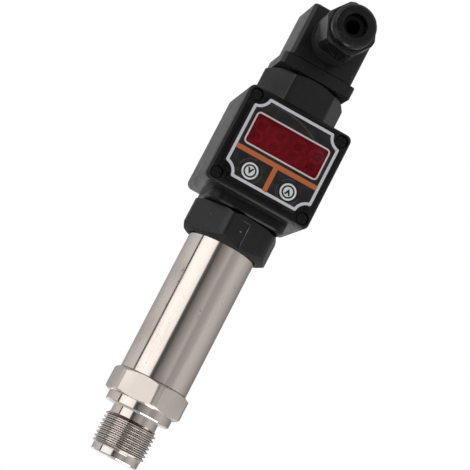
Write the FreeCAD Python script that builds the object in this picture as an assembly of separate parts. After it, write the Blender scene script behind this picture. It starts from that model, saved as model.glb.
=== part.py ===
"""Pressure transmitter with a swivelling LED display head and a square cable plug.

Frame: +Z runs up the axis from the thread, the display faces -Y, and the origin is the
centre of the pressure port's mouth, in the end face of the thread. All sizes are in mm.
"""

import FreeCAD, Part
import os
from math import cos, radians, sin, sqrt, tan

V = FreeCAD.Vector
UP = V(0, 0, 1)
OUT = V(0, -1, 0)                # the way the display faces
MOVING_GAP = 0.3                 # air between pieces that move past each other
RUNNING_FIT = 0.05               # radial clearance of a shaft in its hole
SEATED_FIT = 0.05                # radial clearance of a fixed spigot in its socket

# --- process fitting and pressure cell -------------------------------------------------
thread_r = 10.0                  # M20 x 1.5, drawn plain at its major radius
thread_length = 14.8             # with the pilot
pilot_r = 9.0                    # plain end ahead of the thread
pilot_length = 2.6
pilot_chamfer = 0.4
relief_r = 8.8
relief_length = 3.2
collar_r = 12.5
collar_height = 3.4
collar_chamfer = 0.4
wrench_af = 27.0
wrench_turned_r = 15.0
wrench_height = 9.3
wrench_chamfer = 1.8             # off the turned radius, at both ends
wrench_corner_angle = -83.0      # degrees round +Z of one corner
port_r = 2.0
port_length = 22.0
cell_pocket_r = 9.6
cell_boss_r = 7.6
cell_boss_height = 2.0
cell_flange_height = 8.0
diaphragm_r = 6.5
diaphragm_depth = 0.6
cell_o_ring_r = 0.95
retainer_height = 3.0
retainer_bore_r = 6.5
cell_pin_count = 5
cell_pin_pitch_r = 5.0
cell_pin_r = 0.3
cell_pin_length = 6.8
cell_board_r = 9.2
cell_board_rise = 5.0
fitting_spigot_height = 6.3

# --- barrel ----------------------------------------------------------------------------
barrel_r = 13.0
barrel_wall = 1.5
barrel_length = 57.3
board_thickness = 1.6
cell_board_thickness = 1.2
amplifier_width = 17.0
amplifier_chip = (6.0, 8.0, 1.6)         # width, length and height
converter_chip = (7.5, 7.5, 1.4)
chip_share = 0.25                # along the board
converter_share = 0.55
amplifier_capacitor_r = 2.5
amplifier_capacitor_height = 5.0
amplifier_capacitor_x = 2.0
amplifier_capacitor_share = 0.72
choke = (9.0, 4.8, 4.5)                  # width, length and height
choke_shares = (0.3, 0.6)
bush_spigot_length = 8.0
bush_spigot_wall = 1.9
bush_flange_r = 14.2
bush_flange_height = 2.5
bush_web_height = 2.0
bush_bore_r = 3.0
swivel_r = 10.95                 # boss on which the head turns
swivel_height = 6.0
swivel_ring_r = 0.7
plug_header_width = 6.0
plug_header_depth = 5.0
plug_header_height = 1.7
header_gap = 0.3

# --- union nut -------------------------------------------------------------------------
union_af = 32.0
union_turned_r = 18.0
union_height = 11.7
union_low_chamfer = 3.1          # off the turned radius, at the barrel's end
union_high_chamfer = 1.3
union_flat_angle = -74.0
union_ledge = 2.4
union_thread_r = 14.5
pad_width = 5.4
pad_offset = -1.5                # edge of the moulded pad from the middle of its flat
pad_depth = 0.35
pad_top_margin = 2.0

# --- display housing -------------------------------------------------------------------
box_width = 41.5
box_height = 38.15
box_rear_y = 16.1
box_front_y = -19.7              # where the gasket lies
box_wall = 2.0
box_edge_r = 2.4
neck_width = 30.8
neck_front_y = -17.0
neck_rear_y = 15.4
neck_corner_r = 5.0
neck_height = 4.15
neck_chamfer = 0.7
neck_wall = 3.45
lead_hole_r = 5.0
roof_hole_r = 9.0
corner_screw_inset = 3.35        # from the box's sides to the cover screws
corner_boss_r = 2.6
corner_boss_length = 11.7

# --- front cover, label and window -----------------------------------------------------
gasket_height = 0.5
gasket_inset = 0.5
cover_plate = 3.0
cover_edge_r = 1.5
plateau_height = 4.5
plateau_draft = 0.45
plateau_wall = 1.4
plateau_margin = 0.25            # from the label's edge to the plateau's edge
label_side_margin = 3.45         # from the box's sides to the label
label_end_margin = 3.375         # from the box's top and bottom to the label
label_thickness = 0.25
label_notch_r = 4.2
notch_end_r = 0.7
screw_recess_r = 2.4
screw_recess_depth = 2.2
window_side_margin = 3.05        # from the label's sides to the window
window_top_margin = 6.5          # from the label's top edge to the window
window_height = 11.3
window_corner_r = 1.0
window_step = 0.6
window_flange = 1.25
window_flange_depth = 0.8
key_r = 3.05
key_pitch = 15.4
key_rise = 4.9                   # above the label's bottom edge
key_clearance = 0.08
key_travel = 0.3
key_flange_r = 3.45
key_flange_depth = 0.8
key_stem_r = 1.4
key_proud = 0.1

# --- screws ----------------------------------------------------------------------------
cover_screw_head_r = 1.9
cover_screw_head_height = 1.3
cover_screw_r = 0.95
cover_screw_length = 9.0
board_screw_head_r = 1.5
board_screw_head_height = 1.1
board_screw_r = 0.75
board_screw_length = 5.0
screw_slot_width = 0.5
screw_slot_depth = 0.5

# --- display electronics ---------------------------------------------------------------
board_depth = 8.9                # from the cover's inner face to the display board
board_margin = 0.6
board_boss_r = 1.6
board_boss_inset_x = 3.3         # from the label's corners
board_boss_inset_z = 2.7
module_side_overlap = 0.85       # past the window on each side
module_end_overlap = 1.35        # past the window above and below
module_gap = 0.3                 # behind the window
digit_count = 4
digit_margin = 0.3               # from the module's sides to the first and last digits
digit_height = 8.6
digit_width = 4.6
digit_slant = 8.0                # degrees
segment_width = 0.95
segment_thickness = 0.15
switch_size = 6.0
switch_height = 3.4
lead_header_width = 8.0
lead_header_height = 4.0
lead_header_depth = 3.8
lead_header_offset = 8.0         # above and below the board's middle
controller_size = 7.0
controller_height = 1.6
controller_inner_x = 5.5
display_capacitor_r = 2.5
display_capacitor_height = 5.5
display_capacitor_x = -8.0
display_capacitor_offset = 3.6   # above and below the board's middle
lead_r = 1.5
lead_bend_r = 6.0

# --- hex adapter and plug base ---------------------------------------------------------
adapter_af = 29.0
adapter_turned_r = 16.6
adapter_chamfer = 2.5            # off the turned radius, at both ends
adapter_height = 13.6
adapter_flat_angle = -86.0
adapter_floor = 2.0
adapter_bore_r = 10.9
adapter_spigot_drop = 2.6
adapter_passage_r = 7.0
base_neck_r = 13.0
base_neck_height = 0.4
base_spigot_length = 6.2
base_half_x = 14.5
base_front_y = -14.5
base_rear_y = 14.0
base_height = 4.5
base_corner_r = 1.8
blade_ring_r = 9.0
blade_width = 6.3
blade_thickness = 0.8
blade_height = 8.2
blade_tail = 2.0
insert_r = 2.6
insert_length = 4.0
profile_gasket_height = 1.2

# --- cable socket and gland ------------------------------------------------------------
socket_half_x = 12.8
socket_front_y = -14.0
socket_rear_y = 13.4
socket_height = 21.0
socket_wall = 1.6
socket_roof = 1.8
socket_edge_r = 1.9
socket_top_r = 0.8
terminal_height = 8.0
contact_width = 7.4
contact_thickness = 2.4
contact_height = 7.6
contact_slot_clearance = 0.1
contact_lid = 0.6
terminal_screw_r = 1.15
terminal_screw_height = 1.3
column_r = 4.4
fixing_screw_r = 1.5
fixing_screw_hole_r = 1.7
fixing_head_r = 2.75
fixing_head_height = 2.4
fixing_head_depth = 3.5          # seat of the screw's ring below the top
fixing_ring_height = 0.8
fixing_screw_reach = 5.2         # below the top of the plug base's spigot
gland_boss_r = 8.9
gland_boss_length = 8.7
gland_spigot_r = 7.4
gland_spigot_length = 10.3
gland_seal_pocket_r = 5.3
gland_seal_pocket_depth = 6.0
gland_passage_r = 2.8
cable_hole_r = 2.6
seal_flange_height = 2.4
seal_nose_r = 4.1
seal_nose_length = 2.6
washer_height = 0.7
washer_r = 6.9
gland_nut_af = 17.6
gland_nut_turned_r = 9.6
gland_nut_length = 18.6
gland_nut_hex_length = 13.4
gland_nut_chamfer = 1.1          # off the turned radius, at the front of the hexagon
gland_nut_nose_r = 8.1
gland_nut_nose_round = 1.9
gland_nut_hole_r = 4.4
gland_nut_flat_angle = 83.0

# --- levels worked out from the sizes above ----------------------------------------------
shoulder_z = thread_length + relief_length
collar_top_z = shoulder_z + collar_height
wrench_top_z = collar_top_z + wrench_height
cell_seat_z = port_length
cell_flange_z = cell_seat_z + cell_boss_height
cell_top_z = cell_flange_z + cell_flange_height
cell_board_z = cell_top_z + cell_board_rise
amplifier_z = cell_board_z + cell_board_thickness
spigot_top_z = wrench_top_z + fitting_spigot_height
barrel_bore_r = barrel_r - barrel_wall
tube_top_z = wrench_top_z + barrel_length
bush_top_z = tube_top_z + bush_flange_height
bush_web_z = tube_top_z - bush_web_height
header_z = bush_web_z - plug_header_height - header_gap
swivel_top_z = bush_top_z + swivel_height
union_z = tube_top_z - MOVING_GAP - union_ledge
union_top_z = union_z + union_height
head_spigot_z = bush_top_z + MOVING_GAP
neck_z = union_top_z + MOVING_GAP
box_z = neck_z + neck_height
box_top_z = box_z + box_height
box_mid_z = (box_z + box_top_z) / 2
cover_seat_y = box_front_y - gasket_height
rim_y = cover_seat_y - cover_plate
plateau_y = rim_y - plateau_height
label_width = box_width - 2 * label_side_margin
label_height = box_height - 2 * label_end_margin
label_top_z = box_mid_z + label_height / 2
label_y = plateau_y - label_thickness
cover_inner_y = plateau_y + plateau_wall
board_y = cover_inner_y + board_depth
board_rear_y = board_y + board_thickness
window_width = label_width - 2 * window_side_margin
window_z = label_top_z - window_top_margin - window_height / 2
window_rear_y = plateau_y + window_step + window_flange_depth
module_width = window_width + 2 * module_side_overlap
module_height = window_height + 2 * module_end_overlap
digit_pitch = (module_width - 2 * digit_margin) / digit_count
key_z = box_mid_z - label_height / 2 + key_rise
adapter_top_z = box_top_z + adapter_height
base_z = adapter_top_z + base_neck_height
base_top_z = base_z + base_height
base_spigot_z = adapter_top_z - base_spigot_length
blade_top_z = base_top_z + blade_height
socket_z = base_top_z + MOVING_GAP
socket_top_z = socket_z + socket_height
terminal_z = base_top_z + profile_gasket_height + MOVING_GAP
terminal_top_z = terminal_z + terminal_height
ring_seat_z = socket_top_z - fixing_head_depth
ring_top_z = ring_seat_z + fixing_ring_height
fixing_head_z = ring_top_z + RUNNING_FIT
fixing_tip_z = adapter_top_z - fixing_screw_reach
gland_z = socket_top_z - gland_boss_r
gland_boss_y = socket_front_y - gland_boss_length
gland_spigot_y = gland_boss_y - gland_spigot_length
seal_rear_y = gland_spigot_y + gland_seal_pocket_depth
seal_front_y = gland_spigot_y - seal_flange_height
washer_rear_y = seal_front_y - RUNNING_FIT
washer_y = washer_rear_y - washer_height
nut_rear_y = gland_boss_y - MOVING_GAP
nut_nose_y = nut_rear_y - gland_nut_length
nut_floor_y = washer_y - RUNNING_FIT


# --- plain shapes ----------------------------------------------------------------------
def rod(r, low, high, x=0.0, y=0.0):
    """Round bar along Z between two levels."""
    return Part.makeCylinder(r, high - low, V(x, y, low), UP)


def rod_y(r, rear, front, x=0.0, z=0.0):
    """Round bar along Y, from its rear face to its front face (the more negative y)."""
    return Part.makeCylinder(r, rear - front, V(x, rear, z), OUT)


def block(x0, x1, y0, y1, z0, z1):
    return Part.makeBox(x1 - x0, y1 - y0, z1 - z0, V(x0, y0, z0))


def turned(profile):
    """Solid of revolution about +Z from (r, z) corners."""
    points = [V(r, 0, z) for r, z in profile]
    wire = Part.makePolygon(points + points[:1])
    return Part.Face(wire).revolve(V(0, 0, 0), UP, 360)


def ring(outer, inner, low, high):
    return rod(outer, low, high).cut(rod(inner, low, high))


def torus(ring_r, section_r, z):
    return Part.makeTorus(ring_r, section_r, V(0, 0, z), UP)


def rounded_plate(x0, x1, y0, y1, z0, z1, r):
    """Block with its four edges along Z rounded."""
    plate = block(x0, x1, y0, y1, z0, z1)
    return plate.makeFillet(r, edges_along(plate, UP))


def rounded_panel(width, height, rear, front, r, mid_z):
    """Block centred on x = 0 with its four edges along Y rounded."""
    panel = block(-width / 2, width / 2, front, rear, mid_z - height / 2, mid_z + height / 2)
    return panel.makeFillet(r, edges_along(panel, OUT))


def edges_along(shape, direction):
    """Straight edges of a shape that run along one direction."""
    found = []
    for edge in shape.Edges:
        if edge.Curve.TypeId != "Part::GeomLine":
            continue
        run = edge.Vertexes[-1].Point - edge.Vertexes[0].Point
        if run.normalize().cross(direction).Length < 1e-6:
            found.append(edge)
    return found


def turn(shape, degrees):
    shape.rotate(V(0, 0, 0), UP, degrees)
    return shape


def hexagon(af, low, high, flat_angle):
    """Hexagonal prism about Z, with the normal of one flat at flat_angle."""
    corner_r = af / 2 / cos(radians(30))
    angles = [radians(flat_angle + 30 + 60 * i) for i in range(6)]
    points = [V(corner_r * cos(a), corner_r * sin(a), low) for a in angles]
    wire = Part.makePolygon(points + points[:1])
    return Part.Face(wire).extrude(V(0, 0, high - low))


def turned_hexagon(af, turned_r, low, high, flat_angle, low_chamfer, high_chamfer):
    """Hexagon turned to a cylinder, with its ends chamfered by 30 degrees to the given widths."""
    slope = tan(radians(30))
    blank = turned([(0, low), (turned_r - low_chamfer, low),
                    (turned_r, low + low_chamfer * slope), (turned_r, high - high_chamfer * slope),
                    (turned_r - high_chamfer, high), (0, high)])
    return hexagon(af, low, high, flat_angle).common(blank)


def cut_all(body, tools):
    for tool in tools:
        body = body.cut(tool)
    return body


def fuse_all(body, others):
    for other in others:
        body = body.fuse(other)
    return body.removeSplitter()


def screw_places(inset_x, inset_z, width, height):
    """Four (x, z) places inset from the corners of a panel in the middle of the box."""
    x = width / 2 - inset_x
    z = height / 2 - inset_z
    return [(sx * x, box_mid_z + sz * z) for sx in (-1, 1) for sz in (-1, 1)]


def cover_screw_places():
    return screw_places(corner_screw_inset, corner_screw_inset, box_width, box_height)


def board_screw_places():
    return screw_places(board_boss_inset_x, board_boss_inset_z, label_width, label_height)


def key_places():
    return {"down_key": -key_pitch / 2, "up_key": key_pitch / 2}


# --- process fitting and what it holds -------------------------------------------------
def process_fitting():
    profile = [(0, 0), (pilot_r - pilot_chamfer, 0), (pilot_r, pilot_chamfer),
               (pilot_r, pilot_length), (thread_r, pilot_length + thread_r - pilot_r),
               (thread_r, thread_length), (relief_r, thread_length),
               (relief_r, shoulder_z), (collar_r - collar_chamfer, shoulder_z),
               (collar_r, shoulder_z + collar_chamfer),
               (collar_r, collar_top_z), (0, collar_top_z)]
    flat_angle = wrench_corner_angle + 30
    wrench = turned_hexagon(wrench_af, wrench_turned_r, collar_top_z, wrench_top_z,
                            flat_angle, wrench_chamfer, wrench_chamfer)
    spigot = rod(barrel_bore_r - SEATED_FIT, wrench_top_z, spigot_top_z)
    body = fuse_all(turned(profile), [wrench, spigot])
    pocket = rod(cell_pocket_r, cell_seat_z, spigot_top_z)
    return body.cut(pocket).cut(rod(port_r, 0, cell_seat_z))


def pressure_cell():
    flange_r = cell_pocket_r - RUNNING_FIT
    cell = turned([(0, cell_seat_z), (cell_boss_r, cell_seat_z),
                   (cell_boss_r, cell_flange_z), (flange_r, cell_flange_z),
                   (flange_r, cell_top_z), (0, cell_top_z)])
    return cell.cut(rod(diaphragm_r, cell_seat_z, cell_seat_z + diaphragm_depth))


def cell_o_ring():
    middle_r = cell_boss_r + SEATED_FIT + cell_o_ring_r
    return torus(middle_r, cell_o_ring_r, cell_seat_z + cell_boss_height / 2)


def cell_retaining_ring():
    return ring(cell_pocket_r - SEATED_FIT, retainer_bore_r,
                cell_top_z, cell_top_z + retainer_height)


def cell_pins():
    pins = []
    for i in range(cell_pin_count):
        angle = radians(90 + 360 / cell_pin_count * i)
        pins.append(rod(cell_pin_r, cell_top_z, cell_top_z + cell_pin_length,
                        cell_pin_pitch_r * cos(angle), cell_pin_pitch_r * sin(angle)))
    return Part.makeCompound(pins)


def cell_board():
    board = rod(cell_board_r, cell_board_z, cell_board_z + cell_board_thickness)
    for pin in cell_pins().Solids:
        centre = pin.CenterOfMass
        board = board.cut(rod(cell_pin_r + SEATED_FIT, cell_top_z, spigot_top_z + barrel_length,
                              centre.x, centre.y))
    return board


# --- barrel and amplifier --------------------------------------------------------------
def amplifier_board():
    return block(-amplifier_width / 2, amplifier_width / 2,
                 -board_thickness / 2, board_thickness / 2, amplifier_z, header_z)


def amplifier_components():
    """Plug header on the board's top edge, and the parts soldered on its two faces."""
    face = board_thickness / 2
    span = header_z - amplifier_z
    half_w = plug_header_width / 2
    half_d = plug_header_depth / 2
    parts = [block(-half_w, half_w, -half_d, half_d, header_z, header_z + plug_header_height)]
    for share, chip in [(chip_share, amplifier_chip), (converter_share, converter_chip)]:
        width, length, height = chip
        z = amplifier_z + share * span
        parts.append(block(-width / 2, width / 2, -face - height, -face, z, z + length))
    capacitor_z = amplifier_z + amplifier_capacitor_share * span
    parts.append(rod_y(amplifier_capacitor_r, -face, -face - amplifier_capacitor_height,
                       amplifier_capacitor_x, capacitor_z))
    width, length, height = choke
    for share in choke_shares:
        z = amplifier_z + share * span
        parts.append(block(-width / 2, width / 2, face, face + height, z, z + length))
    return Part.makeCompound(parts)


def barrel_tube():
    return ring(barrel_r, barrel_bore_r, wrench_top_z, tube_top_z)


def barrel_bush():
    spigot_r = barrel_bore_r - SEATED_FIT
    hollow_r = spigot_r - bush_spigot_wall
    groove_low = bush_top_z + swivel_height / 2 - swivel_ring_r
    groove_high = groove_low + 2 * swivel_ring_r
    groove_r = swivel_r - 2 * swivel_ring_r
    spigot_low = tube_top_z - bush_spigot_length
    profile = [(bush_bore_r, bush_web_z), (hollow_r, bush_web_z), (hollow_r, spigot_low),
               (spigot_r, spigot_low), (spigot_r, tube_top_z), (bush_flange_r, tube_top_z),
               (bush_flange_r, bush_top_z), (swivel_r, bush_top_z), (swivel_r, groove_low),
               (groove_r, groove_low), (groove_r, groove_high), (swivel_r, groove_high),
               (swivel_r, swivel_top_z), (bush_bore_r, swivel_top_z)]
    return turned(profile)


def swivel_o_ring():
    return torus(swivel_r - swivel_ring_r, swivel_ring_r, bush_top_z + swivel_height / 2)


def union_nut():
    nut = turned_hexagon(union_af, union_turned_r, union_z, union_top_z, union_flat_angle,
                         union_low_chamfer, union_high_chamfer)
    nut = nut.cut(rod(barrel_r + MOVING_GAP, union_z, union_top_z))
    nut = nut.cut(rod(union_thread_r, union_z + union_ledge, union_top_z))
    flat = union_af / 2
    pad = block(flat - pad_depth, flat + 1, pad_offset - pad_width, pad_offset,
                union_z, union_top_z - pad_top_margin)
    pip = Part.makeCylinder(0.45, pad_depth, V(flat - pad_depth, pad_offset - pad_width / 2.5,
                                               union_z + union_height / 2), V(1, 0, 0))
    return nut.cut(turn(pad, union_flat_angle)).fuse(turn(pip, union_flat_angle))


# --- display housing and cover ---------------------------------------------------------
def display_housing():
    shell = rounded_panel(box_width, box_height, box_rear_y, box_front_y, box_edge_r, box_mid_z)
    rear_edges = [e for e in shell.Edges if min(v.Y for v in e.Vertexes) > box_rear_y - 1e-6]
    shell = shell.makeFillet(cover_edge_r, rear_edges)
    inner_r = box_edge_r - box_wall / 2
    inside = rounded_panel(box_width - 2 * box_wall, box_height - 2 * box_wall,
                           box_rear_y - box_wall, box_front_y, inner_r, box_mid_z)
    bosses = [rod_y(corner_boss_r, box_front_y + corner_boss_length, box_front_y, x, z)
              for x, z in cover_screw_places()]
    corners = [boss.common(shell) for boss in bosses]
    shell = fuse_all(shell.cut(inside), corners)
    neck = rounded_plate(-neck_width / 2, neck_width / 2, neck_front_y, neck_rear_y,
                         neck_z, box_z, neck_corner_r)
    low_edges = [e for e in neck.Edges if max(v.Z for v in e.Vertexes) < neck_z + 1e-6]
    neck = neck.makeChamfer(neck_chamfer, low_edges)
    spigot = rod(union_thread_r - RUNNING_FIT, head_spigot_z, neck_z)
    body = fuse_all(shell, [neck, spigot])
    screw_holes = [rod_y(cover_screw_r + SEATED_FIT, box_front_y + corner_boss_length,
                         box_front_y, x, z) for x, z in cover_screw_places()]
    bearing = rod(swivel_r + RUNNING_FIT, head_spigot_z, swivel_top_z + MOVING_GAP)
    passage = rod(lead_hole_r, swivel_top_z, box_z + box_wall)
    roof_hole = rod(roof_hole_r, box_top_z - box_wall, box_top_z)
    return cut_all(body, screw_holes + [bearing, passage, roof_hole])


def cover_gasket():
    width = box_width - 2 * gasket_inset
    height = box_height - 2 * gasket_inset
    outer = rounded_panel(width, height, box_front_y, cover_seat_y, box_edge_r, box_mid_z)
    inner = rounded_panel(box_width - 2 * box_wall, box_height - 2 * box_wall, box_front_y,
                          cover_seat_y, box_edge_r, box_mid_z)
    frame = outer.cut(inner)
    eyes = [rod_y(corner_boss_r, box_front_y, cover_seat_y, x, z).common(outer)
            for x, z in cover_screw_places()]
    holes = [rod_y(cover_screw_r + SEATED_FIT, box_front_y, cover_seat_y, x, z)
             for x, z in cover_screw_places()]
    return cut_all(fuse_all(frame, eyes), holes)


def notched_wire(grow, y):
    """Outline of the label grown all round, with its corners scooped out round the screws."""
    half_w = label_width / 2 + grow
    half_h = label_height / 2 + grow
    notch_r = label_notch_r - grow
    screw_x = box_width / 2 - corner_screw_inset
    screw_z = box_height / 2 - corner_screw_inset
    reach_z = screw_z - sqrt(notch_r ** 2 - (half_w - screw_x) ** 2)
    reach_x = screw_x - sqrt(notch_r ** 2 - (half_h - screw_z) ** 2)
    middle = notch_r * sqrt(0.5)
    edges = []
    corners = [(1, 1), (-1, 1), (-1, -1), (1, -1)]
    for i, (sx, sz) in enumerate(corners):
        side = V(sx * half_w, y, box_mid_z + sz * reach_z)
        level = V(sx * reach_x, y, box_mid_z + sz * half_h)
        scoop = V(sx * (screw_x - middle), y, box_mid_z + sz * (screw_z - middle))
        start, end = (side, level) if sx * sz > 0 else (level, side)
        edges.append(Part.Arc(start, scoop, end).toShape())
        nx, nz = corners[(i + 1) % 4]
        if sx * sz > 0:
            following = V(nx * reach_x, y, box_mid_z + nz * half_h)
        else:
            following = V(nx * half_w, y, box_mid_z + nz * reach_z)
        edges.append(Part.LineSegment(end, following).toShape())
    return Part.Wire(edges)


def notched_block(rear_grow, rear, front_grow, front, end_r):
    """Drafted block on the notched outline, with the notch ends rounded."""
    block_ = Part.makeLoft([notched_wire(rear_grow, rear), notched_wire(front_grow, front)],
                           True, True)
    ends = []
    for edge in block_.Edges:
        low, high = sorted(v.Y for v in edge.Vertexes)
        if high - low > (rear - front) * 0.9:
            ends.append(edge)
    return block_.makeFillet(end_r, ends)


def window_opening(front, rear, grow):
    return rounded_panel(window_width + 2 * grow, window_height + 2 * grow, rear, front,
                         window_corner_r, window_z)


def front_cover():
    plate = rounded_panel(box_width, box_height, cover_seat_y, rim_y, box_edge_r, box_mid_z)
    front_edges = [e for e in plate.Edges if max(v.Y for v in e.Vertexes) < rim_y + 1e-6]
    plate = plate.makeFillet(cover_edge_r, front_edges)
    plateau = notched_block(plateau_margin + plateau_draft, rim_y, plateau_margin, plateau_y,
                            notch_end_r)
    cavity = notched_block(plateau_margin - plateau_wall, cover_seat_y,
                           plateau_margin - plateau_wall, cover_inner_y, notch_end_r)
    bosses = [rod_y(board_boss_r, board_y, cover_inner_y, x, z)
              for x, z in board_screw_places()]
    body = fuse_all(plate.fuse(plateau).cut(cavity), bosses)
    tools = [window_opening(plateau_y, plateau_y + window_step, 0),
             window_opening(plateau_y + window_step, cover_inner_y, window_flange)]
    for x in key_places().values():
        tools.append(rod_y(key_r + key_clearance, cover_inner_y, plateau_y, x, key_z))
    for x, z in board_screw_places():
        tools.append(rod_y(board_screw_r + SEATED_FIT, board_y, board_y - board_screw_length,
                           x, z))
    for x, z in cover_screw_places():
        tools.append(rod_y(screw_recess_r, rim_y + screw_recess_depth, rim_y, x, z))
        tools.append(rod_y(cover_screw_r + SEATED_FIT, cover_seat_y, rim_y, x, z))
    return cut_all(body, tools)


def front_label():
    film = notched_block(0, plateau_y, 0, label_y, notch_end_r)
    tools = [window_opening(label_y, plateau_y, 0)]
    for x in key_places().values():
        tools.append(rod_y(key_r + key_clearance, plateau_y, label_y, x, key_z))
    return cut_all(film, tools)


def display_window():
    pane = window_opening(label_y, plateau_y + window_step, -SEATED_FIT)
    flange = window_opening(plateau_y + window_step, window_rear_y,
                            window_flange - SEATED_FIT)
    return pane.fuse(flange)


def key(x):
    """Round cap, a flange that stops it behind the cover, and the stem over its switch."""
    flange_y = cover_inner_y + MOVING_GAP
    stem_rear_y = board_y - switch_height - MOVING_GAP - key_travel
    cap = rod_y(key_r, flange_y, label_y - key_proud, x, key_z)
    flange = rod_y(key_flange_r, flange_y + key_flange_depth, flange_y, x, key_z)
    stem = rod_y(key_stem_r, stem_rear_y, flange_y + key_flange_depth, x, key_z)
    return fuse_all(cap, [flange, stem])


# --- screws ----------------------------------------------------------------------------
def screw_y(head_r, head_height, shank_r, length, seat_y, x, z, outwards):
    """Slotted screw along Y whose head stands on seat_y."""
    way = -1 if outwards else 1
    head_end = seat_y + way * head_height
    tip = seat_y - way * length
    head = rod_y(head_r, max(seat_y, head_end), min(seat_y, head_end), x, z)
    shank = rod_y(shank_r, max(seat_y, tip), min(seat_y, tip), x, z)
    slot_floor = head_end - way * screw_slot_depth
    slot = block(x - head_r, x + head_r, min(head_end, slot_floor), max(head_end, slot_floor),
                 z - screw_slot_width / 2, z + screw_slot_width / 2)
    cross = block(x - screw_slot_width / 2, x + screw_slot_width / 2,
                  min(head_end, slot_floor), max(head_end, slot_floor), z - head_r, z + head_r)
    return head.cut(slot).cut(cross).fuse(shank)


def cover_screws():
    seat_y = rim_y + screw_recess_depth
    return Part.makeCompound([screw_y(cover_screw_head_r, cover_screw_head_height, cover_screw_r,
                                      cover_screw_length, seat_y, x, z, True)
                              for x, z in cover_screw_places()])


def board_screws():
    return Part.makeCompound([screw_y(board_screw_head_r, board_screw_head_height, board_screw_r,
                                      board_screw_length, board_rear_y, x, z, False)
                              for x, z in board_screw_places()])


# --- display electronics ---------------------------------------------------------------
def display_board():
    half_x = label_width / 2 - board_margin
    half_z = label_height / 2 - board_margin
    board = block(-half_x, half_x, board_y, board_rear_y, box_mid_z - half_z, box_mid_z + half_z)
    tools = [rod_y(corner_boss_r + 2 * MOVING_GAP, board_rear_y, board_y, x, z)
             for x, z in cover_screw_places()]
    tools += [rod_y(board_screw_r + SEATED_FIT, board_rear_y, board_y, x, z)
              for x, z in board_screw_places()]
    return cut_all(board, tools)


def digit_module():
    front_y = window_rear_y + module_gap
    return block(-module_width / 2, module_width / 2, front_y, board_y,
                 window_z - module_height / 2, window_z + module_height / 2)


def digit_segments():
    """Seven slanted bars and a dot for each digit, on the module's face."""
    rear_y = window_rear_y + module_gap
    front_y = rear_y - segment_thickness
    lean = tan(radians(digit_slant))
    half_w = digit_width / 2
    half_h = digit_height / 2
    bars = []
    for n in range(digit_count):
        middle = (n - (digit_count - 1) / 2) * digit_pitch
        for level in (-half_h, 0, half_h):
            bars.append(bar(middle + level * lean, level, half_w - segment_width * 0.75,
                            segment_width / 2, rear_y, front_y, 0))
        for side in (-half_w, half_w):
            for level in (-half_h / 2, half_h / 2):
                bars.append(bar(middle + side + level * lean, level, segment_width / 2,
                                half_h / 2 - segment_width * 0.75, rear_y, front_y, lean))
        dot_x = middle + half_w + segment_width * 1.35 - half_h * lean
        bars.append(rod_y(segment_width * 0.55, rear_y, front_y, dot_x, window_z - half_h))
    return Part.makeCompound(bars)


def bar(x, z, half_x, half_z, rear_y, front_y, lean):
    """Thin upright or level bar about (x, window_z + z), leaning with the digit."""
    shift = half_z * lean
    points = [V(x - half_x - shift, rear_y, window_z + z - half_z),
              V(x + half_x - shift, rear_y, window_z + z - half_z),
              V(x + half_x + shift, rear_y, window_z + z + half_z),
              V(x - half_x + shift, rear_y, window_z + z + half_z)]
    return Part.Face(Part.makePolygon(points + points[:1])).extrude(V(0, front_y - rear_y, 0))


def key_switches():
    half = switch_size / 2
    return Part.makeCompound([block(x - half, x + half, board_y - switch_height, board_y,
                                    key_z - half, key_z + half)
                              for x in key_places().values()])


def display_components():
    """Lead headers on the board's middle, a controller and two capacitors."""
    low, high = lead_header_levels()
    half_w = lead_header_width / 2
    half_h = lead_header_height / 2
    parts = [block(-half_w, half_w, board_rear_y, board_rear_y + lead_header_depth,
                   z - half_h, z + half_h) for z in (low, high)]
    half = controller_size / 2
    parts.append(block(controller_inner_x, controller_inner_x + controller_size, board_rear_y,
                       board_rear_y + controller_height, box_mid_z - half, box_mid_z + half))
    for way in (-1, 1):
        parts.append(rod_y(display_capacitor_r, board_rear_y + display_capacitor_height,
                           board_rear_y, display_capacitor_x,
                           box_mid_z + way * display_capacitor_offset))
    return Part.makeCompound(parts)


def lead_header_levels():
    return box_mid_z - lead_header_offset, box_mid_z + lead_header_offset


def lead(end_z, header_level):
    """Round lead up the axis that turns forward into its header."""
    way = 1 if header_level > end_z else -1
    corner = V(0, 0, header_level)
    end_y = board_rear_y + lead_header_depth
    bend_start = V(0, 0, header_level - way * lead_bend_r)
    bend_end = V(0, -lead_bend_r, header_level)
    middle = lead_bend_r * (1 - sqrt(0.5))
    bend_middle = V(0, -middle, header_level - way * middle)
    path = Part.Wire([Part.LineSegment(V(0, 0, end_z), bend_start).toShape(),
                      Part.Arc(bend_start, bend_middle, bend_end).toShape(),
                      Part.LineSegment(bend_end, V(corner.x, end_y, corner.z)).toShape()])
    section = Part.Wire(Part.makeCircle(lead_r, V(0, 0, end_z), UP))
    return path.makePipeShell([section], True, False)


# --- hex adapter and plug base ---------------------------------------------------------
def hex_adapter():
    body = turned_hexagon(adapter_af, adapter_turned_r, box_top_z, adapter_top_z,
                          adapter_flat_angle, adapter_chamfer, adapter_chamfer)
    spigot = rod(roof_hole_r - SEATED_FIT, box_top_z - adapter_spigot_drop, box_top_z)
    body = body.fuse(spigot)
    body = body.cut(rod(adapter_bore_r, box_top_z + adapter_floor, adapter_top_z))
    return body.cut(rod(adapter_passage_r, box_top_z - adapter_spigot_drop, adapter_top_z))


def blade(half_width, half_thickness, low, high, quarter):
    """Flat bar across the radius at one of the four contact places."""
    flat = block(blade_ring_r - half_thickness, blade_ring_r + half_thickness,
                 -half_width, half_width, low, high)
    return turn(flat, 90 * quarter)


def blades(width, thickness, low, high):
    return [blade(width / 2, thickness / 2, low, high, quarter) for quarter in range(4)]


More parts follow.
